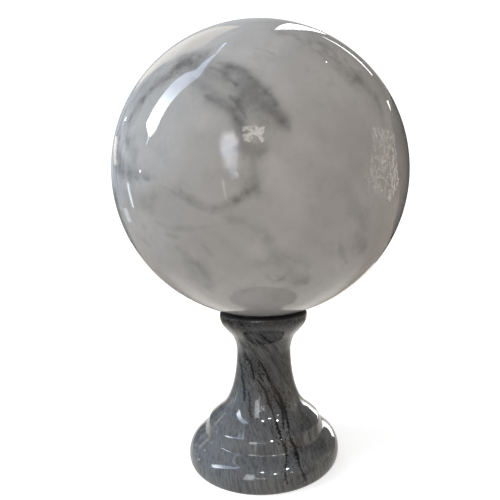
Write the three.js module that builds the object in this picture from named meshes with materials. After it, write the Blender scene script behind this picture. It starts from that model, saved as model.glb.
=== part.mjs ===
// A polished stone ball resting in the dished collar of a small turned stone stand.
// Millimetres, +Z up. The origin is the middle of the stand's underside.
import * as THREE from "three";

// Driving dimensions.
const BALL_DIAMETER = 200;
const SEAT_GAP = 0.3; // clearance between the ball and the dish that it rests in
const DISH_FLOOR = 87.8; // height of the lowest point of the dish

// The places that shape the stand's outline, from the floor up.
const FOOT = { radius: 47.8, height: 0 };
const BELLY = { radius: 49, height: 4 };
const CREASE = { radius: 38.9, height: 15.7 };
const SHOULDER = { radius: 36.6, height: 21.9 };
const FLARE = { radius: 29.2, height: 27.8 };
const NECK = { radius: 18.2, height: 64.2 };
const BELL = { radius: 22.6, height: 76.6 };
const COLLAR_RADIUS = 30;
const LIP_ROUNDING = 2.8;

// Headings of the outline on its way up, in degrees: 0 is straight outward and 90 is straight up.
const UP = 90;
const BELLY_TOP = 144;
const RISER = 110;
const FLARE_FOOT = 141;
const BELL_SIDE = 46;

// How much of each sharp corner is rounded off.
const FOOT_CUT = 1.2;
const CREASE_CUT = 0.6;
const SHOULDER_CUT = 1.2;

// How finely the round shapes are faceted.
const TURNING_STEPS = 72;
const BALL_STEPS_AROUND = 60;
const BALL_STEPS_UPRIGHT = 30;
const CURVE_STEPS = {
  LineCurve: 1,
  QuadraticBezierCurve: 2,
  CubicBezierCurve: 6,
  EllipseCurve: 5,
};
const SHORTEST_STEP = 0.01;

const paleStone = new THREE.MeshStandardMaterial({
  name: "pale_stone",
  color: 0x9f9d98,
  roughness: 0.08,
  metalness: 0,
});
const darkStone = new THREE.MeshStandardMaterial({
  name: "dark_stone",
  color: 0x5c5e5c,
  roughness: 0.1,
  metalness: 0,
});

const dishRadius = BALL_DIAMETER / 2 + SEAT_GAP;
const ballCentre = DISH_FLOOR + dishRadius;

// The lip's rounding touches the collar's side on its outside and the dish's sphere on top.
const lip = { radius: COLLAR_RADIUS - LIP_ROUNDING };
const ballToLip = dishRadius + LIP_ROUNDING;
lip.height = ballCentre - Math.sqrt(ballToLip ** 2 - lip.radius ** 2);
lip.topAngle = Math.atan2(ballCentre - lip.height, -lip.radius);
const COLLAR = { radius: COLLAR_RADIUS, height: lip.height };

// The place at a distance from another one along a heading.
function beside(place, heading, distance) {
  const angle = THREE.MathUtils.degToRad(heading);
  return {
    radius: place.radius + distance * Math.cos(angle),
    height: place.height + distance * Math.sin(angle),
  };
}

function lineTo(path, place) {
  path.lineTo(place.radius, place.height);
}

// A smooth curve to a place. It leaves on one heading and arrives on another, and each reach
// says how long it holds that heading.
function sweepTo(path, from, leaving, leavingReach, to, arriving, arrivingReach) {
  const first = beside(from, leaving, leavingReach);
  const second = beside(to, arriving, -arrivingReach);
  path.bezierCurveTo(first.radius, first.height, second.radius, second.height, to.radius, to.height);
}

// The rounding that replaces a sharp corner. The path already ends one cut before the corner.
function roundTo(path, corner, leaving, cut) {
  const end = beside(corner, leaving, cut);
  path.quadraticCurveTo(corner.radius, corner.height, end.radius, end.height);
}

// Half of the stand's section, from the middle of the underside to the middle of the dish.
function standOutline() {
  const path = new THREE.Path().moveTo(0, 0);
  const footCorner = { radius: BELLY.radius, height: FOOT_CUT };
  lineTo(path, FOOT);
  path.quadraticCurveTo(footCorner.radius, footCorner.height, BELLY.radius, BELLY.height);
  sweepTo(path, BELLY, UP, 6.6, beside(CREASE, BELLY_TOP, -CREASE_CUT), BELLY_TOP, 4.6);
  roundTo(path, CREASE, RISER, CREASE_CUT);
  lineTo(path, beside(SHOULDER, RISER, -SHOULDER_CUT));
  roundTo(path, SHOULDER, FLARE_FOOT, SHOULDER_CUT);
  lineTo(path, FLARE);
  sweepTo(path, FLARE, FLARE_FOOT, 12, NECK, UP, 7.8);
  sweepTo(path, NECK, UP, 4.8, BELL, BELL_SIDE, 3.6);
  sweepTo(path, BELL, BELL_SIDE, 6.9, COLLAR, UP, 5);
  path.absarc(lip.radius, lip.height, LIP_ROUNDING, 0, lip.topAngle, false);
  path.absarc(0, ballCentre, dishRadius, lip.topAngle - Math.PI, -Math.PI / 2, true);
  return path;
}

// The outline's points, each curve cut into its own number of steps, ending on the axis.
function outlinePoints(path) {
  const points = [];
  for (const curve of path.curves) {
    for (const point of curve.getPoints(CURVE_STEPS[curve.type])) {
      if (points.every((other) => other.distanceTo(point) > SHORTEST_STEP)) points.push(point);
    }
  }
  points.at(-1).x = 0;
  return points;
}

// A lathe turns about Y, and this frame's up is Z.
function makeStand() {
  const geometry = new THREE.LatheGeometry(outlinePoints(standOutline()), TURNING_STEPS);
  const stand = new THREE.Mesh(geometry.rotateX(Math.PI / 2), darkStone);
  stand.name = "stand";
  return stand;
}

function makeBall() {
  const geometry = new THREE.SphereGeometry(BALL_DIAMETER / 2, BALL_STEPS_AROUND, BALL_STEPS_UPRIGHT);
  const ball = new THREE.Mesh(geometry.rotateX(Math.PI / 2), paleStone);
  ball.name = "ball";
  ball.position.z = ballCentre;
  return ball;
}

const group = new THREE.Group();
group.add(makeStand(), makeBall());
export default group;
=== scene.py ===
"""A polished marble ball resting in the dished collar of a small turned marble stand."""

import math

import bmesh
import bpy
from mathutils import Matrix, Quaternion, Vector


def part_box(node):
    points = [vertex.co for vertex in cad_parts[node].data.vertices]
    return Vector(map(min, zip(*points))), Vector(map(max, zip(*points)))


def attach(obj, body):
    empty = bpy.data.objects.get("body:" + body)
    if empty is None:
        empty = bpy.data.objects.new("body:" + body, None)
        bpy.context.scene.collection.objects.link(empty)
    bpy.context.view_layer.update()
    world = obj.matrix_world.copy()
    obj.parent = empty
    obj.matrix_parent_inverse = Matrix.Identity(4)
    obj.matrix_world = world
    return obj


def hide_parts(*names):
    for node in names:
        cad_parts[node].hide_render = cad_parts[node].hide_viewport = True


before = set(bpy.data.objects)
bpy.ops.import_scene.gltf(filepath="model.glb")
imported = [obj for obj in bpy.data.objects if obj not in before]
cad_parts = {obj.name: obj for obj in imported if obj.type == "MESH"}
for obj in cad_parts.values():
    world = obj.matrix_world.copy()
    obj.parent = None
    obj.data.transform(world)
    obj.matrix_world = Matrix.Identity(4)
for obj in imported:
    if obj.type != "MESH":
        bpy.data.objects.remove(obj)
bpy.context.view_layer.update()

MM = 0.001

# Places and sizes, in metres, read from the fixed frame.
BALL_LOW, BALL_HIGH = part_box("ball")
BALL_RADIUS = (BALL_HIGH.x - BALL_LOW.x) / 2
BALL_CENTRE = (BALL_LOW + BALL_HIGH) / 2
STAND_LOW, STAND_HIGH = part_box("stand")

# The stand's outline as radius and height in millimetres, as it was turned.
SEAT_GAP = 0.3
DISH_RADIUS = BALL_RADIUS / MM + SEAT_GAP
FOOT = (47.8, 0)
BELLY = (49, 4)
CREASE = (38.9, 15.7)
SHOULDER = (36.6, 21.9)
FLARE = (29.2, 27.8)
NECK = (18.2, 64.2)
BELL = (22.6, 76.6)
COLLAR_RADIUS = 30
LIP_ROUNDING = 2.8
UP = 90
BELLY_TOP = 144
RISER = 110
FLARE_FOOT = 141
BELL_SIDE = 46
FOOT_CUT = 1.2
CREASE_CUT = 0.6
SHOULDER_CUT = 1.2

STEPS_AROUND = 240
CURVE_STEPS = 20
CORNER_STEPS = 5
BALL_FACE_STEPS = 72


# ---------------------------------------------------------------- turned outline

def beside(place, heading, distance):
    """The point at a distance from a place along a heading in degrees, 90 being straight up."""
    angle = math.radians(heading)
    return (place[0] + distance * math.cos(angle), place[1] + distance * math.sin(angle))


def bend(points, *controls, steps):
    """Adds a Bezier curve from the last point, through its controls, to the outline's points."""
    chain = [points[-1], *controls]
    for step in range(1, steps + 1):
        t = step / steps
        level = chain
        while len(level) > 1:
            level = [
                tuple(a + (b - a) * t for a, b in zip(low, high))
                for low, high in zip(level, level[1:])
            ]
        points.append(level[0])


def sweep(points, leaving, leaving_reach, end, arriving, arriving_reach):
    """A smooth curve that leaves on one heading and arrives at its end on another."""
    first = beside(points[-1], leaving, leaving_reach)
    second = beside(end, arriving, -arriving_reach)
    bend(points, first, second, end, steps=CURVE_STEPS)


def round_corner(points, corner, leaving, cut):
    """The rounding that replaces a sharp corner. The outline already ends one cut before it."""
    bend(points, corner, beside(corner, leaving, cut), steps=CORNER_STEPS)


def arc(points, centre, radius, start, end, steps):
    for step in range(1, steps + 1):
        angle = start + (end - start) * step / steps
        points.append((centre[0] + radius * math.cos(angle), centre[1] + radius * math.sin(angle)))


def stand_outline():
    """The stand's outline from the middle of its underside round to the middle of its dish."""
    ball_height = BALL_CENTRE.z / MM
    lip_radius = COLLAR_RADIUS - LIP_ROUNDING
    lip_depth = math.sqrt((DISH_RADIUS + LIP_ROUNDING) ** 2 - lip_radius ** 2)
    lip = (lip_radius, ball_height - lip_depth)
    lip_top = math.atan2(lip_depth, -lip_radius)
    points = [(0, 0), (FOOT[0] / 2, 0), FOOT]
    bend(points, (BELLY[0], FOOT_CUT), BELLY, steps=CORNER_STEPS)
    sweep(points, UP, 6.6, beside(CREASE, BELLY_TOP, -CREASE_CUT), BELLY_TOP, 4.6)
    round_corner(points, CREASE, RISER, CREASE_CUT)
    points.append(beside(SHOULDER, RISER, -SHOULDER_CUT))
    round_corner(points, SHOULDER, FLARE_FOOT, SHOULDER_CUT)
    points.append(FLARE)
    sweep(points, FLARE_FOOT, 12, NECK, UP, 7.8)
    sweep(points, UP, 4.8, BELL, BELL_SIDE, 3.6)
    sweep(points, BELL_SIDE, 6.9, (COLLAR_RADIUS, lip[1]), UP, 5)
    arc(points, lip, LIP_ROUNDING, 0, lip_top, steps=12)
    arc(points, (0, ball_height), DISH_RADIUS, lip_top - math.pi, -math.pi / 2, steps=12)
    return points


# ---------------------------------------------------------------- meshes

def smooth_piece(name, mesh_maker, material, node):
    """A mesh object in the CAD frame that stands for a CAD node."""
    made = bmesh.new()
    mesh_maker(made)
    bmesh.ops.recalc_face_normals(made, faces=made.faces)
    mesh = bpy.data.meshes.new(name)
    made.to_mesh(mesh)
    made.free()
    mesh.polygons.foreach_set("use_smooth", [True] * len(mesh.polygons))
    mesh.materials.append(material)
    piece = bpy.data.objects.new(name, mesh)
    bpy.context.scene.collection.objects.link(piece)
    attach(piece, "root")
    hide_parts(node)
    return piece


def turned_stand(made):
    """Turns the stand's outline, which starts and ends on the axis, round Z."""
    rings = []
    for radius, height in stand_outline():
        if radius < 0.001:
            rings.append([made.verts.new((0, 0, height * MM))])
            continue
        ring = []
        for step in range(STEPS_AROUND):
            angle = math.tau * step / STEPS_AROUND
            spot = (radius * math.cos(angle), radius * math.sin(angle), height)
            ring.append(made.verts.new(Vector(spot) * MM))
        rings.append(ring)
    for low, high in zip(rings, rings[1:]):
        for step in range(STEPS_AROUND):
            after = (step + 1) % STEPS_AROUND
            corners = [low[step % len(low)], low[after % len(low)],
                       high[after % len(high)], high[step % len(high)]]
            made.faces.new(dict.fromkeys(corners))


def ground_ball(made):
    """A ball of six curved square patches, so that it has no poles for the polish to pinch at."""
    spots = {}

    def corner(a, b, face):
        axis, side = divmod(face, 2)
        flat = [math.tan(math.pi / 4 * (2 * v / BALL_FACE_STEPS - 1)) for v in (a, b)]
        flat.insert(axis, 2 * side - 1)
        direction = Vector(flat).normalized()
        key = tuple(round(v, 6) for v in direction)
        if key not in spots:
            spots[key] = made.verts.new(BALL_CENTRE + direction * BALL_RADIUS)
        return spots[key]

    for face in range(6):
        for a in range(BALL_FACE_STEPS):
            for b in range(BALL_FACE_STEPS):
                made.faces.new([corner(a, b, face), corner(a + 1, b, face),
                                corner(a + 1, b + 1, face), corner(a, b + 1, face)])


# ---------------------------------------------------------------- shader expressions

class Value:
    """A shader socket that holds a number. Arithmetic on it adds Math nodes."""

    def __init__(self, nodes, socket):
        self.nodes = nodes
        self.socket = socket

    def _maths(self, operation, *operands):
        return self.nodes.node("ShaderNodeMath", {"operation": operation}, dict(enumerate(operands)))

    def __add__(self, other):
        return self._maths("ADD", self, other)

    __radd__ = __add__

    def __sub__(self, other):
        return self._maths("SUBTRACT", self, other)

    def __rsub__(self, other):
        return self._maths("SUBTRACT", other, self)

    def __mul__(self, other):
        return self._maths("MULTIPLY", self, other)

    __rmul__ = __mul__

    def __truediv__(self, other):
        return self._maths("DIVIDE", self, other)

    def __rtruediv__(self, other):
        return self._maths("DIVIDE", other, self)

    def __abs__(self):
        return self._maths("ABSOLUTE", self)

    def least(self, other):
        return self._maths("MINIMUM", self, other)

    def most(self, other):
        return self._maths("MAXIMUM", self, other)

    def held(self):
        """The value, held between 0 and 1."""
        return self.nodes.node("ShaderNodeClamp", {}, {0: self})


class Nodes:
    """Adds nodes to the tree of a material or of the world."""

    def __init__(self, owner):
        owner.use_nodes = True
        self.owner = owner
        self.tree = owner.node_tree
        self.tree.nodes.clear()

    def node(self, kind, settings, inputs, output=0):
        """Adds a node: its settings first, then the values or links of its sockets."""
        made = self.tree.nodes.new(kind)
        for setting, value in settings.items():
            setattr(made, setting, value)
        for key, value in inputs.items():
            if isinstance(value, Value):
                self.tree.links.new(value.socket, made.inputs[key])
            else:
                made.inputs[key].default_value = value
        return Value(self, made.outputs[output]) if made.outputs else None

    def vector(self, operation, first, second, output="Vector"):
        return self.node("ShaderNodeVectorMath", {"operation": operation}, {0: first, 1: second}, output)

    def scaled(self, vector, factor):
        return self.node("ShaderNodeVectorMath", {"operation": "SCALE"}, {0: vector, "Scale": factor})

    def parts(self, vector):
        """The three numbers of a vector."""
        return [self.node("ShaderNodeSeparateXYZ", {}, {0: vector}, axis) for axis in range(3)]

    def ease(self, value, low, high):
        """0 below low and 1 above high, with an eased rise between them, or a fall if low is higher."""
        return self.node("ShaderNodeMapRange", {"interpolation_type": "SMOOTHSTEP"},
                         {"Value": value, "From Min": low, "From Max": high})

    def blend(self, mask, below, above):
        """One colour over another by a mask."""
        return self.node("ShaderNodeMix", {"data_type": "RGBA"}, {0: mask, 6: below, 7: above}, 2)

    def spot(self):
        """The place that is being shaded."""
        return self.node("ShaderNodeNewGeometry", {}, {}, "Position")

    def noise(self, place, size, detail=3, roughness=0.5, output=0):
        """Cloudy noise whose lumps are about a size in metres."""
        inputs = {"Vector": place, "Scale": 1 / size, "Detail": detail, "Roughness": roughness}
        return self.node("ShaderNodeTexNoise", {}, inputs, output)

    def shifted(self, place, size, amount, detail=2):
        """The place, pushed about by noise, so that what is drawn on it wanders."""
        push = self.vector("SUBTRACT", self.noise(place, size, detail, output="Color"), (0.5, 0.5, 0.5))
        return self.vector("ADD", place, self.scaled(push, 2 * amount))

    def vein(self, place, stops):
        """How many half-widths a place is from a vein. Each stop is a point and a half-width."""
        nearest = None
        for (start, start_width), (end, end_width) in zip(stops, stops[1:]):
            along = end - start
            offset = self.vector("SUBTRACT", place, start)
            share = self.vector("DOT_PRODUCT", offset, along / along.length_squared, "Value").held()
            gap = self.vector("DISTANCE", offset, self.scaled(along, share), "Value")
            widths = gap / (share * (end_width - start_width) + start_width)
            nearest = widths if nearest is None else nearest.least(widths)
        return nearest

    def nearest_vein(self, place, lines):
        """How many half-widths a place is from the nearest of several veins."""
        nearest = self.vein(place, lines[0])
        for stops in lines[1:]:
            nearest = nearest.least(self.vein(place, stops))
        return nearest


class Stone(Nodes):
    """A material whose colour, gloss and relief are worked out from the place in the stone."""

    def __init__(self, name):
        super().__init__(bpy.data.materials.new(name))
        self.place = self.spot()

    def frayed(self, nearest, cloud, spread=2.2, ragged=0.9):
        """How strongly a vein shows, from 0 to 1, by how near it is, with its edge frayed by a cloud."""
        return self.ease((cloud - 0.5) * ragged - nearest / spread, -1, 0.15)

    def veins(self, place, lines, cloud, spread=2.2, ragged=0.9):
        return self.frayed(self.nearest_vein(place, lines), cloud, spread, ragged)

    def polished(self, colour, roughness, height, bump):
        """The polished surface itself."""
        relief = self.node("ShaderNodeBump", {}, {"Height": height, "Distance": bump})
        inputs = {"Base Color": colour, "Roughness": roughness, "Normal": relief, "IOR": 1.5}
        surface = self.node("ShaderNodeBsdfPrincipled", {}, inputs)
        self.node("ShaderNodeOutputMaterial", {}, {"Surface": surface})
        return self.owner


class Glow(Nodes):
    """A material that only glows, for the cards that the polish mirrors."""

    def __init__(self, name):
        super().__init__(bpy.data.materials.new(name))

    def shining(self, colour, strength, cover=None):
        """A strength of 1 is as bright as a white surface. Where the cover is 0 the card isn't there."""
        surface = self.node("ShaderNodeEmission", {}, {"Color": colour, "Strength": strength})
        if cover:
            clear = self.node("ShaderNodeBsdfTransparent", {}, {})
            surface = self.node("ShaderNodeMixShader", {}, {0: cover, 1: clear, 2: surface})
        self.node("ShaderNodeOutputMaterial", {}, {"Surface": surface})
        return self.owner


# ---------------------------------------------------------------- pale marble of the ball

def ball_line(*stops):
    """A line on the ball. Each stop is degrees right of its front, degrees up and a half-width in mm."""
    line = []
    for east, north, width in stops:
        lon, lat = math.radians(east), math.radians(north)
        outward = Vector((math.sin(lon) * math.cos(lat), -math.cos(lon) * math.cos(lat), math.sin(lat)))
        line.append((BALL_CENTRE + outward * BALL_RADIUS, width * MM))
    return line


BAND = [
    ball_line((-27, 26, 5), (-19, 22.5, 8), (-11, 18, 10), (-4.5, 12.5, 9), (1, 8.5, 7), (5, 4.5, 4)),
    ball_line((-21, 19, 4), (-14, 14, 7), (-8.5, 9, 7), (-6, 3, 4)),
]
DARK_STRIP = [
    ball_line((-12, 22.5, 2), (-6, 19.5, 4), (-3, 16, 6), (0, 12, 7), (2.6, 8.5, 6.5), (5, 5.2, 5),
              (7.2, 2.4, 2)),
]
CLEAR_RIM = [
    ball_line((-16, 31, 5), (-6, 27.5, 6), (-0.5, 23.2, 6), (4, 18.6, 6), (7, 14.5, 6), (9.2, 10.6, 6),
              (11.4, 6.8, 6), (13, 2, 6)),
]
BAND_EDGES = [
    ball_line((-14.5, 24.8, 0.7), (-10.5, 23.4, 1.4), (-6, 21, 1.6), (-2, 17.6, 1.6), (1.5, 13, 1.6),
              (4, 9.4, 1.3)),
    ball_line((-16.2, 22.8, 0.8), (-12.3, 21, 1), (-9.9, 18.8, 2), (-8.7, 17.5, 1), (-7, 15.9, 0.8)),
    ball_line((-15.8, 12.9, 0.8), (-14.1, 11.9, 1.4), (-11.6, 9.8, 2.2), (-9.2, 7.5, 2.4), (-7.2, 4.7, 2.4),
              (-6.2, 3.1, 2), (-5.8, 1, 1.4)),
    ball_line((-9.2, 12.4, 0.8), (-7.1, 10.3, 1.3), (-5.5, 7.9, 1.3), (-4.8, 5.8, 0.8)),
]
SMUDGES = [
    ball_line((-5, -2.4, 3), (-2.5, -3.6, 5), (-0.4, -3, 3)),
    ball_line((-3, -4, 3), (-2.2, -6.7, 3.2), (-1.7, -9.5, 2.6), (-2.4, -12.3, 4), (-4.4, -13.8, 3.4),
              (-7.4, -16.5, 2)),
    ball_line((-64, -2, 6), (-54, -3.5, 7), (-46, -5, 7), (-41, -7, 5), (-36, -9, 2)),
    ball_line((-46, 3, 4), (-43.5, -1, 5), (-42, -5, 4)),
    ball_line((-46, 12, 4), (-40, 18, 5), (-32, 22, 5)),
]
MOTTLED = [
    ball_line((-54, 2, 7), (-46, 12, 9), (-38, 20, 10), (-28, 26, 9), (-18, 27, 6)),
    ball_line((10, 42, 5), (22, 34, 7), (31, 26, 8), (37, 16, 6), (41, 6, 4)),
]
WISPS = [
    ball_line((-22, 26.5, 1.2), (-26, 26.5, 2), (-30, 22, 1.4)),
    ball_line((-33, 23.5, 1.4), (-38, 18, 2.4), (-41, 16, 1.4)),
    ball_line((-43, 10, 1.2), (-46, 8, 2.4), (-50, 3, 1.4)),
    ball_line((-38, 29, 1.2), (-43, 25, 1.6), (-50, 17, 1.2)),
    ball_line((-32, -11, 0.5), (-27, -13.5, 0.6), (-22, -16.5, 0.9), (-19, -18, 1.1), (-16, -19, 0.8)),
    ball_line((-30.5, -31, 1.2), (-27.5, -33.5, 2.2), (-25, -36.5, 2.2), (-23, -40.5, 2), (-23.5, -44, 2),
              (-27, -47.5, 1.4)),
    ball_line((5, -41.5, 1.4), (8, -43.5, 1.8), (11, -44, 1.4)),
    ball_line((13, -45, 0.9), (17, -43, 1.3), (19, -45.5, 0.8)),
    ball_line((-14.5, -19, 2), (-10.5, -18.5, 2.8), (-7, -16.5, 2.6), (-4.5, -15, 2)),
]
PALE_CLOUDS = [
    ball_line((3, -6, 4), (7, -15, 9), (11, -23, 10), (6, -29, 9), (-4, -31, 7)),
]
THREADS = [
    ball_line((-36, -22, 0.5), (-32, -24, 0.9), (-24, -24.5, 1), (-18.5, -24, 0.9), (-13.5, -23.5, 0.5)),
    ball_line((-33, -26, 0.9), (-29, -27, 0.9)),
    ball_line((-48, -28, 1.2), (-46, -30, 1.2)),
    ball_line((-20, -30, 0.8), (-18, -33, 0.8)),
    ball_line((-2, 30, 0.5), (1.5, 29, 0.7), (4.5, 27, 0.6)),
    ball_line((9.5, 7.4, 0.6), (9.8, 7, 0.6)),
    ball_line((13, 38, 0.8), (15, 34.5, 1), (18.5, 31, 0.8), (21, 29.5, 0.8), (23, 26, 1), (25.5, 23, 1.2),
              (28.5, 20, 1.8), (30.5, 18.5, 2), (32.5, 17, 1)),
]
FADED_PATCHES = [
    ball_line((-57, -10, 8), (-47, -13, 9), (-37, -15, 6)),
    ball_line((-58, 8, 4), (-50, 14, 6), (-40, 22, 8), (-30, 26, 8), (-20, 27, 5)),
    ball_line((-24, -14, 1), (-17, -17.5, 2), (-12, -18.5, 2), (-6, -16, 2.2), (-2, -13, 2.4)),
    ball_line((-58, -2, 3), (-50, -7, 4), (-40, -8.5, 3.5), (-33, -9, 2)),
    ball_line((7.5, 40, 3), (13, 39, 3)),
    ball_line((22, 30, 3), (29, 26, 5), (34, 22, 5), (39, 16.5, 5), (41, 8, 4)),
    ball_line((1.5, -28, 3), (2, -31.5, 3.4), (5, -34, 2.5)),
    ball_line((4, -31, 3), (8, -34, 4), (14, -36, 4.4), (17, -38, 3.2)),
    ball_line((26, -14, 4), (32, -20, 5), (36, -26, 4)),
    ball_line((1.5, -41, 1.2), (4.5, -44, 1.6), (7.5, -43, 1.3), (9.5, -40.5, 1.8)),
    ball_line((-9, -22, 2.5), (-5, -23, 3.2), (-2, -25, 3)),
    ball_line((33, -27, 3), (38, -29, 4), (40, -31.5, 2.5)),
    ball_line((27, -30, 1.4), (31, -34, 1.8), (35, -37, 1.2)),
    ball_line((6, -35, 4), (11, -39, 6), (16, -43, 5)),
    ball_line((-28, -36, 4), (-29, -42, 5), (-28, -47, 3.5)),
    ball_line((-22, -36, 4), (-25, -40, 6), (-27, -45, 5)),
    ball_line((-7, 8, 4), (-3.5, 5.5, 5), (0, 3, 3)),
]


def hidden_veins(stone, wander):
    """Drifting veins of the sides and back, where nothing has a set place."""
    lean = stone.node("ShaderNodeVectorRotate", {"rotation_type": "EULER_XYZ"},
                      {"Vector": wander, "Rotation": (0.5, 0.9, 0.2)})
    sheets = stone.vector("MULTIPLY", lean, (1, 0.45, 0.3))
    bands = stone.ease(stone.noise(sheets, 22 * MM, 5, 0.55), 0.56, 0.74)
    threads = stone.ease(abs(stone.noise(sheets, 34 * MM, 3, 0.5) - 0.5), 0.04, 0)
    patches = stone.ease(stone.noise(wander, 50 * MM, 2), 0.45, 0.6)
    x, y, z = stone.parts(stone.place)
    behind = stone.ease(y, -55 * MM, -5 * MM)
    return (bands * 0.55 + threads * patches * 0.26) * behind


def ball_veining(stone, wander, fray, clouds, mottle):
    """How dark the veins make the ball."""
    fine = stone.noise(fray, 5 * MM, 5, 0.65)
    band = stone.veins(wander, BAND, mottle, 1.8, 0.8) * 0.42
    strip = stone.veins(wander, DARK_STRIP, mottle, 1.8, 0.6) * 0.36
    clear = stone.veins(wander, CLEAR_RIM, mottle, 1.15, 0.3) * 0.9
    edges = stone.veins(fray, BAND_EDGES, mottle, 2.4, 1.1) * 0.3
    mottled = stone.veins(wander, MOTTLED, clouds, 1.8, 0.8) * stone.ease(mottle, 0.46, 0.66) * 0.34
    smudges = stone.veins(wander, SMUDGES, mottle, 1.9, 1.6) * 0.36
    wisps = stone.veins(fray, WISPS, mottle, 2.4, 1.8) * 0.18
    threads = stone.veins(fray, THREADS, fine, 2.8, 1.6) * 0.17
    faded = stone.veins(wander, FADED_PATCHES, mottle, 1.9, 2.0) * 0.22
    dark = (band + strip) * (1 - clear) + edges + smudges + wisps + threads + faded + mottled
    return ((dark + hidden_veins(stone, wander)) * (0.7 + fine * 0.6)).least(0.8)


def pale_marble():
    stone = Stone("pale_marble")
    wander = stone.shifted(stone.place, 26 * MM, 2 * MM, 3)
    fray = stone.shifted(wander, 5 * MM, 0.8 * MM, 3)
    clouds = stone.noise(wander, 50 * MM, 5, 0.6)
    mottle = stone.noise(fray, 12 * MM, 6, 0.66)
    dark = ball_veining(stone, wander, fray, clouds, mottle)
    pale = stone.blend(stone.ease(clouds, 0.3, 0.7), (0.48, 0.473, 0.462, 1), (0.6, 0.592, 0.58, 1))
    pale = stone.blend(stone.ease(mottle, 0.48, 0.75) * 0.35, pale, (0.36, 0.356, 0.35, 1))
    bright = stone.veins(wander, PALE_CLOUDS, clouds, 1.8, 1.6)
    pale = stone.blend(bright * 0.55, pale, (0.68, 0.662, 0.642, 1))
    colour = stone.blend(dark, pale, (0.09, 0.092, 0.092, 1))
    relief = stone.noise(stone.place, 22 * MM, 2)
    return stone.polished(colour, 0.03 + dark * 0.04, relief, 0.03 * MM)


# ---------------------------------------------------------------- dark marble of the stand

def stand_line(*stops):
    """A sheet of vein that runs from front to back. Each stop is mm right, mm up and a half-width in mm."""
    return [(Vector((right, 0, up)) * MM, width * MM) for right, up, width in stops]


BLACK_VEINS = [
    stand_line((-3, 62.5, 0.4), (-0.5, 58.5, 0.8), (2, 53.7, 0.7), (4.2, 49, 0.6), (7.4, 43.8, 0.8),
               (10, 40, 1.1), (12.5, 35.2, 1.1), (14, 31, 0.8), (14.3, 27.5, 0.7), (14.6, 24.5, 0.5),
               (15.5, 21, 0.5),
               (18.5, 17, 0.8), (19.2, 13.5, 0.8), (20.5, 9.5, 0.4), (23, 4.5, 0.5)),
    stand_line((-4.2, 51, 0.5), (-2.3, 48.6, 0.8), (1, 43.5, 0.9), (3.3, 38, 0.6), (6, 31.5, 0.5),
               (8.8, 25.3, 0.6), (9.9, 22, 0.7), (12.8, 17.5, 0.7), (12.6, 14.5, 0.4), (11.2, 10, 0.4),
               (12.4, 5.5, 0.6)),
    stand_line((7.3, 39.5, 0.4), (11.2, 34, 0.9), (11.6, 29, 0.7), (11.7, 26, 0.4)),
    stand_line((-12, 65.8, 0.5), (-9.9, 62, 0.9), (-8.4, 59.3, 1), (-6.6, 53.6, 0.8), (-6, 51, 0.5)),
    stand_line((-29, 89, 1.2), (-26.5, 87.5, 1.5), (-25, 85, 0.9)),
    stand_line((-23.5, 87.5, 1.2), (-21.5, 85.5, 1.7), (-19.5, 83.5, 0.9)),
    stand_line((-15.5, 88.5, 0.8), (-12.5, 85.8, 1.1), (-10, 83.2, 0.6)),
]
GREY_VEINS = [
    stand_line((-16.5, 86, 0.5), (-12.6, 83.5, 0.7), (-10.5, 79, 0.9), (-7.8, 74.5, 0.9), (-4, 72, 0.6)),
    stand_line((-11, 75, 0.4), (-8.4, 70.6, 0.7), (-6.2, 68, 0.8), (-4.3, 64.6, 0.7)),
    stand_line((-4.5, 76, 0.6), (-2, 72.8, 0.9), (0.7, 71.2, 0.9), (3, 68.5, 0.5)),
    stand_line((-2, 81, 0.5), (1.6, 77, 0.7), (5.3, 73.4, 0.9), (8.2, 69, 0.7), (9.7, 66.2, 0.6)),
    stand_line((-15.5, 74, 0.5), (-12.5, 70.3, 0.7)),
    stand_line((-16, 60, 0.4), (-14.3, 55, 0.6), (-12.7, 45, 0.8), (-12.5, 39, 0.5)),
    stand_line((-3.7, 55, 0.5), (-0.8, 50.5, 0.5)),
    stand_line((-10, 44, 0.4), (-8.8, 36.5, 0.7), (-8.2, 31.5, 0.5)),
]


def leaning(stone, place):
    """The place drawn out, so that noise on it runs in strands up the stand, leaning more higher up."""
    x, y, z = stone.parts(place)
    lean = x + z * (z * 3.6 + 0.2)
    return stone.node("ShaderNodeCombineXYZ", {}, {0: lean, 1: y * 0.4, 2: z * 0.12})


def stand_veining(stone, fray, along, grain, flecks, neck):
    """How dark the veins make the stand."""
    sheet = stone.vector("MULTIPLY", fray, (1, 0, 1))
    nearest = stone.nearest_vein(sheet, BLACK_VEINS)
    black = stone.frayed(nearest, flecks * 0.6 + grain * 0.4, 1.7, 3.2) * 1.6
    specks = stone.ease(flecks, 0.55, 0.63) * stone.ease(nearest, 7, 2)
    halo = stone.ease(nearest, 6, 1.5) * neck * 0.22
    grey = stone.veins(sheet, GREY_VEINS, flecks, 2.8, 2.4) * 0.9
    strands = stone.ease(stone.noise(along, 11 * MM, 3), 0.4, 0.62) * 0.4
    threads = stone.ease(grain, 0.52, 0.66) * strands.most(stone.ease(nearest, 11, 2) * 0.8)
    return black + halo + specks + grey + threads


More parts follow.
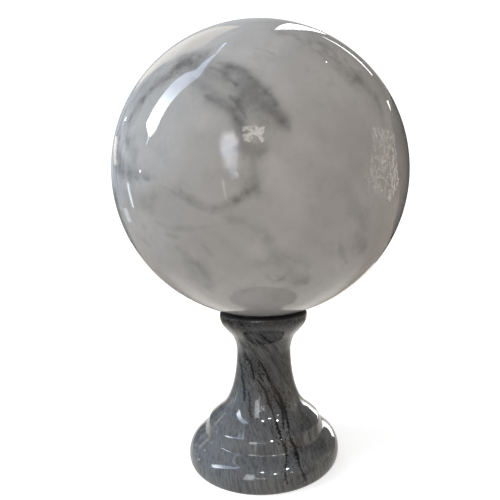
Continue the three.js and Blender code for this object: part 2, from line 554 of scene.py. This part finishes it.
def stand_ground(stone, wander, fray, along, grain, flecks, neck):
    """The grey between the veins, darker in the neck. Painted light makes it paler low on the left, and
    painted shade under the ball, with the collar's own dark veining, darkens the collar.
    """
    x, y, z = stone.parts(fray)
    clouds = stone.noise(wander, 26 * MM, 5, 0.6)
    fine = stone.noise(along, 1.1 * MM, 3, 0.6)
    ground = stone.blend(stone.ease(clouds, 0.3, 0.7), (0.094, 0.099, 0.104, 1), (0.136, 0.141, 0.144, 1))
    ground = stone.blend(stone.ease(grain, 0.48, 0.32) * 0.7, ground, (0.21, 0.213, 0.21, 1))
    ground = stone.blend(neck * 0.3, ground, (0.05, 0.056, 0.066, 1))
    # Painted light: the stand is paler low on its left side, where the window light falls.
    painted_left_light = stone.ease(x, 25 * MM, -40 * MM) * stone.ease(z, 60 * MM, 10 * MM)
    ground = stone.blend(painted_left_light * 0.5, ground, (0.24, 0.25, 0.262, 1))
    ground = stone.blend(stone.ease(fine, 0.56, 0.4) * 0.3, ground, (0.25, 0.25, 0.245, 1))
    ground = stone.blend(stone.ease(fine, 0.5, 0.68) * 0.45, ground, (0.06, 0.062, 0.066, 1))
    # Painted shade under the ball, together with the collar's own dark veining: the collar darkens towards
    # its top. The pale flecks on it are the stone's.
    collar = stone.ease(z, 78 * MM, 86 * MM)
    ground = stone.blend(collar * 0.8, ground, (0.04, 0.043, 0.05, 1))
    return stone.blend(collar * stone.ease(flecks, 0.46, 0.36) * 0.6, ground, (0.17, 0.175, 0.18, 1))


def dark_marble():
    stone = Stone("dark_marble")
    wander = stone.shifted(stone.place, 9 * MM, 0.8 * MM, 3)
    fray = stone.shifted(wander, 1.8 * MM, 0.4 * MM, 3)
    along = leaning(stone, fray)
    grain = stone.noise(along, 2.8 * MM, 5, 0.65)
    flecks = stone.noise(stone.place, 1.3 * MM, 3, 0.6)
    height = stone.parts(fray)[2]
    neck = stone.ease(height, 28 * MM, 46 * MM)
    worn = stone.ease(height, 83 * MM, 87 * MM)
    # Painted shade: the top of the lip, in the gap under the ball, is painted black and made rougher.
    lip = stone.ease(height, 89 * MM, 90.2 * MM)
    dark = (stand_veining(stone, fray, along, grain, flecks, neck) + lip).least(0.98)
    ground = stand_ground(stone, wander, fray, along, grain, flecks, neck)
    colour = stone.blend(dark, ground, (0.004, 0.004, 0.005, 1))
    relief = stone.noise(stone.place, 12 * MM, 2) + flecks * worn * 4
    return stone.polished(colour, 0.04 + grain * 0.03 + worn * 0.14 + lip * 0.4, relief, 0.015 * MM)


# ---------------------------------------------------------------- studio

CAMERA_PLACE = Vector((0, -2.795, 1.449)) * BALL_RADIUS
CAMERA_YAW = 2.13
CAMERA_PITCH = 5.23
CAMERA_ROLL = 0.63
CAMERA_LENS = 28.36
CAMERA_SHIFT = (-0.0545, -0.1095)
FLOOR_SIDE = 3.0
FRONT_WINDOW_AWAY = 0.38
FAR_LAMP_HALF_ANGLE = 0.6
COOL = (0.8, 0.9, 1, 1)
SKY = (0.7, 0.79, 1, 1)
CREAM = (1, 0.94, 0.84, 1)
WHITE = (1, 1, 1, 1)


def floor_material():
    """Pale to look at, with painted light in what the polish mirrors of it, and duller as a light on the
    stones.
    """
    nodes = Nodes(bpy.data.materials.new("pale_floor"))
    seen = nodes.node("ShaderNodeLightPath", {}, {}, "Is Camera Ray")
    mirrored = nodes.node("ShaderNodeLightPath", {}, {}, "Is Glossy Ray")
    pale = nodes.node("ShaderNodeBsdfDiffuse", {}, {"Color": (0.86, 0.86, 0.86, 1)})
    lift = nodes.node("ShaderNodeEmission", {}, {"Strength": 0.62})
    bright = nodes.node("ShaderNodeAddShader", {}, {0: pale, 1: lift})
    dim = nodes.node("ShaderNodeBsdfDiffuse", {}, {"Color": (0.74, 0.69, 0.64, 1)})
    flat = nodes.vector("MULTIPLY", nodes.spot(), (1, 1, 0))
    x, y, z = nodes.parts(flat)
    away = nodes.vector("DISTANCE", flat, (0, 0, 0), "Value")
    behind = nodes.ease(y, 0.02, 0.07)
    # Painted light that only the polish sees: a bright sunlit patch on the floor just behind the stand, pale
    # floor round the stand, and dim floor further out.
    table = nodes.blend(nodes.ease(away, 0.08, 0.11) * behind, (0.86, 0.83, 0.78, 1), (1.15, 1.12, 1.06, 1))
    table = nodes.blend(nodes.ease(away - behind * 0.03, 0.09, 0.23), table, (0.36, 0.32, 0.27, 1))
    reflection = nodes.node("ShaderNodeEmission", {}, {"Color": table})
    unseen = nodes.node("ShaderNodeMixShader", {}, {0: mirrored, 1: dim, 2: reflection})
    surface = nodes.node("ShaderNodeMixShader", {}, {0: seen, 1: unseen, 2: bright})
    nodes.node("ShaderNodeOutputMaterial", {}, {"Surface": surface})
    return nodes.owner


def add_floor():
    half = FLOOR_SIDE / 2
    mesh = bpy.data.meshes.new("floor")
    corners = [(-half, -half, 0), (half, -half, 0), (half, half, 0), (-half, half, 0)]
    mesh.from_pydata(corners, [], [(0, 1, 2, 3)])
    mesh.materials.append(floor_material())
    floor = bpy.data.objects.new("floor", mesh)
    bpy.context.scene.collection.objects.link(floor)


def add_room():
    """Soft light from all round: cool on the left, warm and dim on the right, low and dark behind."""
    nodes = Nodes(bpy.data.worlds.new("room"))
    seen = nodes.node("ShaderNodeLightPath", {}, {}, "Is Camera Ray")
    way = nodes.node("ShaderNodeTexCoord", {}, {}, "Generated")
    right, back, up = nodes.parts(way)
    side = nodes.blend(nodes.ease(right, 0.7, -0.8), (0.28, 0.21, 0.155, 1), (0.6, 0.69, 0.81, 1))
    front = nodes.blend(nodes.ease(back, -0.3, -0.9), side, (0.74, 0.66, 0.58, 1))
    ceiling = nodes.blend(nodes.ease(up, 0.1, 0.8), front, (0.58, 0.59, 0.6, 1))
    low = nodes.ease(back, 0.68, 0.8) * nodes.ease(up - right * 0.3, 0.3, 0.18)
    corner = nodes.ease(nodes.vector("DOT_PRODUCT", way, (0.49, 0.41, 0.77), "Value"), 0.8, 0.95)
    ceiling = nodes.blend(corner * 0.8, ceiling, (0.06, 0.06, 0.055, 1))
    walls = nodes.blend(low, ceiling, (0.012, 0.01, 0.009, 1))
    bars = nodes.noise(nodes.vector("MULTIPLY", way, (1, 1, 0.12)), 0.06, 2)
    behind = nodes.ease(back, 0, 0.35) * nodes.ease(abs(up), 0.65, 0.35) * nodes.ease(right, 0.1, -0.3)
    walls = nodes.blend(behind * nodes.ease(bars, 0.5, 0.4) * 0.8, walls, (0.07, 0.075, 0.08, 1))
    walls = nodes.blend(behind * nodes.ease(bars, 0.6, 0.68), walls, (1.1, 1.08, 1, 1))
    room = nodes.node("ShaderNodeBackground", {}, {"Color": walls})
    backdrop = nodes.node("ShaderNodeBackground", {}, {"Color": WHITE, "Strength": 1.2})
    surface = nodes.node("ShaderNodeMixShader", {}, {0: seen, 1: room, 2: backdrop})
    nodes.node("ShaderNodeOutputWorld", {}, {"Surface": surface})
    bpy.context.scene.world = nodes.owner


def toward(azimuth, elevation, distance, target):
    """A place seen from a target: degrees round from the front to the right, and degrees up."""
    lon, lat = math.radians(azimuth), math.radians(elevation)
    way = Vector((math.sin(lon) * math.cos(lat), -math.cos(lon) * math.cos(lat), math.sin(lat)))
    return target + way * distance


def add_card(first_edge, second_edge, glow, gloss_only=True):
    """A glowing card between two edges. The camera doesn't see it, and it casts no shadow."""
    count = len(first_edge)
    faces = [(step, step + 1, count + step + 1, count + step) for step in range(count - 1)]
    mesh = bpy.data.meshes.new(glow.name)
    mesh.from_pydata([*first_edge, *second_edge], [], faces)
    mesh.materials.append(glow)
    card = bpy.data.objects.new(glow.name, mesh)
    card.visible_camera = False
    card.visible_shadow = False
    card.visible_diffuse = not gloss_only
    bpy.context.scene.collection.objects.link(card)


def from_ball(distance, *ways):
    """Places at a distance from the ball's middle, each by degrees round and degrees up."""
    return [toward(azimuth, elevation, distance, BALL_CENTRE) for azimuth, elevation in ways]


def even(name, colour, strength):
    """One even glow all over a card."""
    return Glow(name).shining(colour, strength)


def left_window_glow():
    """Bright and cool low down, and the dimmer blue of the sky higher up."""
    glow = Glow("left_window")
    x, y, z = glow.parts(glow.spot())
    rise = glow.ease(z, 0.7, 1.05)
    return glow.shining(glow.blend(rise, COOL, (0.21, 0.25, 0.32, 1)), 17)


def front_window_glow():
    """A soft window, blue above and blotched with pale leaves below."""
    glow = Glow("front_window")
    wander = glow.shifted(glow.spot(), 40 * MM, 14 * MM, 3)
    pane = [(toward(azimuth, elevation, 0.375, BALL_CENTRE), width * MM) for azimuth, elevation, width in
            ((-18.5, 9, 43), (-18.5, 2, 43), (-18, -4, 36), (-16.5, -10, 26))]
    blotches = glow.noise(wander, 26 * MM, 4, 0.6)
    x, y, z = glow.parts(wander)
    below = glow.ease(z, 0.2, 0.15)
    leaves = glow.ease(blotches, 0.4, 0.62)
    shape = glow.ease(glow.vein(wander, pane), 1.15, 0.6)
    colour = glow.blend(leaves, SKY, (1, 0.98, 0.95, 1))
    return glow.shining(colour, 9, shape * (1 - below * (1 - leaves) * 0.55))


def leaves_glow(name, colour, strength, size, thin, thick):
    """Scraps of light, as of leaves against a far window."""
    glow = Glow(name)
    scraps = abs(glow.noise(glow.spot(), size, 3, 0.6) - 0.5)
    return glow.shining(colour, strength, glow.ease(scraps, thick, thin))


def add_left_window():
    first = from_ball(1.2, (-84, 17), (-90, 22.5), (-88, 31), (-86, 41), (-83.5, 49), (-79, 52.8),
                      (-72.5, 55), (-74.6, 60), (-76.7, 64), (-76, 68), (-104, 74))
    second = from_ball(1.2, (-81.5, 16), (-77.8, 19), (-75, 29), (-71, 39), (-66, 46.5), (-62.5, 51),
                       (-61.8, 53), (-65.5, 59.5), (-71, 65.5), (-74, 67.8), (-100, 75))
    add_card(first, second, left_window_glow(), gloss_only=False)
    add_card(from_ball(1.2, (-85, 18.5), (-84, 15), (-84.9, 12.2)),
             from_ball(1.2, (-82.6, 18.2), (-83, 15), (-84.4, 12.2)), even("left_sill", COOL, 9))


def add_back_window():
    first = from_ball(1.3, (163.5, 73), (156.5, 68), (153.5, 60), (156, 52), (157.5, 46), (159, 42))
    second = from_ball(1.3, (164, 72), (167, 60), (167.5, 54), (165.5, 49.5), (162.5, 45.5), (160, 42))
    add_card(first, second, even("back_window", WHITE, 6), gloss_only=False)
    outer = from_ball(1.3, (148, 52.6), (145, 48), (141.5, 43.7), (138.5, 39.9), (134.5, 36))
    inner = from_ball(1.3, (147.4, 52.8), (142.3, 49), (138.2, 45.4), (135.2, 41.2), (132.4, 36.9))
    add_card(outer, inner, even("window_bar", WHITE, 5))
    add_card(from_ball(1.5, (-112, 64), (-120, 52), (-131, 40), (-139, 28)),
             from_ball(1.5, (-165, 64), (-161, 51), (-153, 41), (-146, 30)), even("cream_wall", CREAM, 1.35))
    add_card(from_ball(1.3, (123.7, 29), (121.5, 25.5)), from_ball(1.3, (128, 28.2), (122.4, 25.4)),
             even("window_gap", WHITE, 5))


def add_front_window():
    near = FRONT_WINDOW_AWAY
    add_card(from_ball(near, (-34, 22), (-34, -16)), from_ball(near, (-4, 22), (-4, -16)),
             front_window_glow())
    add_card(from_ball(near, (-24.4, -13), (-23.2, -24.5)), from_ball(near, (-22.6, -13), (-22.4, -24.5)),
             even("front_glint", CREAM, 2.5))
    add_card(from_ball(0.6, (-12.5, 18.5), (-11, 8)), from_ball(0.6, (1.5, 19), (1.5, 8)),
             leaves_glow("front_leaves", CREAM, 6, 70 * MM, 0.03, 0.07))


def add_room_reflections():
    """The rest of what the polish mirrors: a dark doorway, leaves, slits, a post, lamps and tables."""
    add_card(from_ball(0.8, (111, 24), (109, 17), (108, 9), (110, 2), (118, -3.5), (128, -12.5)),
             from_ball(0.8, (166, 24), (166, 17), (166, 9), (166, 2), (166, -3.5), (166, -12.5)),
             even("dark_door", WHITE, 0))
    add_card(from_ball(1, (84, 21.5), (76, 0), (72, -6)), from_ball(1, (122, 14), (112, -6), (102, -17)),
             leaves_glow("side_leaves", (0.95, 0.95, 0.85, 1), 2, 75 * MM, 0.01, 0.045))
    add_card(from_ball(0.8, (-106.5, -2.2), (-107.5, -8.7), (-107.6, -12.6)),
             from_ball(0.8, (-104.5, -2.5), (-104.7, -9.4), (-106.4, -12.7)), even("left_slit", COOL, 5))
    add_card(from_ball(0.6, (-122, -8), (-123.5, -13)), from_ball(0.6, (-114.5, -10.5), (-116, -15.8)),
             even("left_panel", COOL, 1.4))
    add_card(from_ball(0.8, (-138.5, 15.5), (-130, 7.5)), from_ball(0.8, (-129.5, 16), (-123, 7)),
             even("left_post", CREAM, 1.6))
    for step, (azimuth, elevation) in enumerate([(-90, 0.2), (84, 59), (-123, 22.3)]):
        left, right = azimuth - FAR_LAMP_HALF_ANGLE, azimuth + FAR_LAMP_HALF_ANGLE
        low, high = elevation - FAR_LAMP_HALF_ANGLE, elevation + FAR_LAMP_HALF_ANGLE
        add_card(from_ball(1, (left, low), (left, high)), from_ball(1, (right, low), (right, high)),
                 even(f"far_lamp_{step}", WHITE, 16))
    add_card(from_ball(0.8, (-150, 2), (-148, -6), (-150, -22), (-158, -34)),
             from_ball(0.8, (-134, 0), (-134, -6), (-140, -22), (-150, -36)), even("dark_bench", COOL, 0.06))
    table = [[Vector((right, back, 1)) * MM for right, back in edge] for edge in
             (((40, 250), (0, 350), (0, 1300)), ((150, 250), (290, 400), (500, 1300)))]
    add_card(*table, even("sunlit_table", CREAM, 1.3))


def add_windows():
    add_left_window()
    add_back_window()
    add_front_window()
    add_room_reflections()


def stand_lamp(name, kind, energy, place, only):
    """A lamp that only the stand mirrors. Its place is in millimetres."""
    lamp = bpy.data.lights.new(name, kind)
    lamp.energy = energy
    lit = bpy.data.objects.new(name, lamp)
    lit.location = Vector(place) * MM
    lit.visible_camera = False
    lit.visible_diffuse = False
    lit.light_linking.receiver_collection = only
    bpy.context.scene.collection.objects.link(lit)
    return lit


def add_catch_lights(only):
    """Small lamps that put points of light on the stand."""
    spots = [((310, -960, 1250), 25), ((820, -820, 1000), 3), ((-16, -180, 279), 0.9),
             ((128, -134, 273), 0.9)]
    for step, (place, energy) in enumerate(spots):
        lit = stand_lamp(f"catch_light_{step}", "POINT", energy, place, only)
        lit.data.shadow_soft_size = lit.location.length * 0.011


def add_soft_lights(only):
    """Soft lamps that the stand's sides mirror: name, place, size, aim, energy and spread in degrees."""
    panels = [("low_light", (184, 257, 26), (110, 60), (25, 0, -41), 0.01, 40),
              ("tall_window", (-205, -470, 330), (110, 330), (0, -30, 25), 0.6, 180),
              ("right_wall", (440, 370, 150), (500, 260), (20, 0, 30), 0.14, 180)]
    for name, place, size, aim, energy, spread in panels:
        lit = stand_lamp(name, "AREA", energy, place, only)
        lit.data.shape = "RECTANGLE"
        lit.data.size, lit.data.size_y = (side * MM for side in size)
        lit.data.spread = math.radians(spread)
        lit.rotation_euler = (Vector(aim) * MM - lit.location).to_track_quat("-Z", "Y").to_euler()


def add_stand_lights(stand):
    only = bpy.data.collections.new("stand_only")
    only.objects.link(stand)
    add_catch_lights(only)
    add_soft_lights(only)


def add_camera():
    data = bpy.data.cameras.new("camera")
    data.sensor_width = 36
    data.lens = CAMERA_LENS
    data.shift_x, data.shift_y = CAMERA_SHIFT
    yaw, pitch, roll = (math.radians(v) for v in (CAMERA_YAW, CAMERA_PITCH, CAMERA_ROLL))
    forward = Vector((math.sin(yaw) * math.cos(pitch), math.cos(yaw) * math.cos(pitch), math.sin(pitch)))
    camera = bpy.data.objects.new("camera", data)
    camera.location = CAMERA_PLACE
    camera.rotation_euler = (Quaternion(forward, roll) @ forward.to_track_quat("-Z", "Y")).to_euler()
    bpy.context.scene.collection.objects.link(camera)
    bpy.context.scene.camera = camera


ball = smooth_piece("polished_ball", ground_ball, pale_marble(), "ball")
stand = smooth_piece("turned_stand", turned_stand, dark_marble(), "stand")
add_floor()
add_room()
add_windows()
add_stand_lights(stand)
add_camera()
bpy.context.scene.view_settings.view_transform = "Standard"
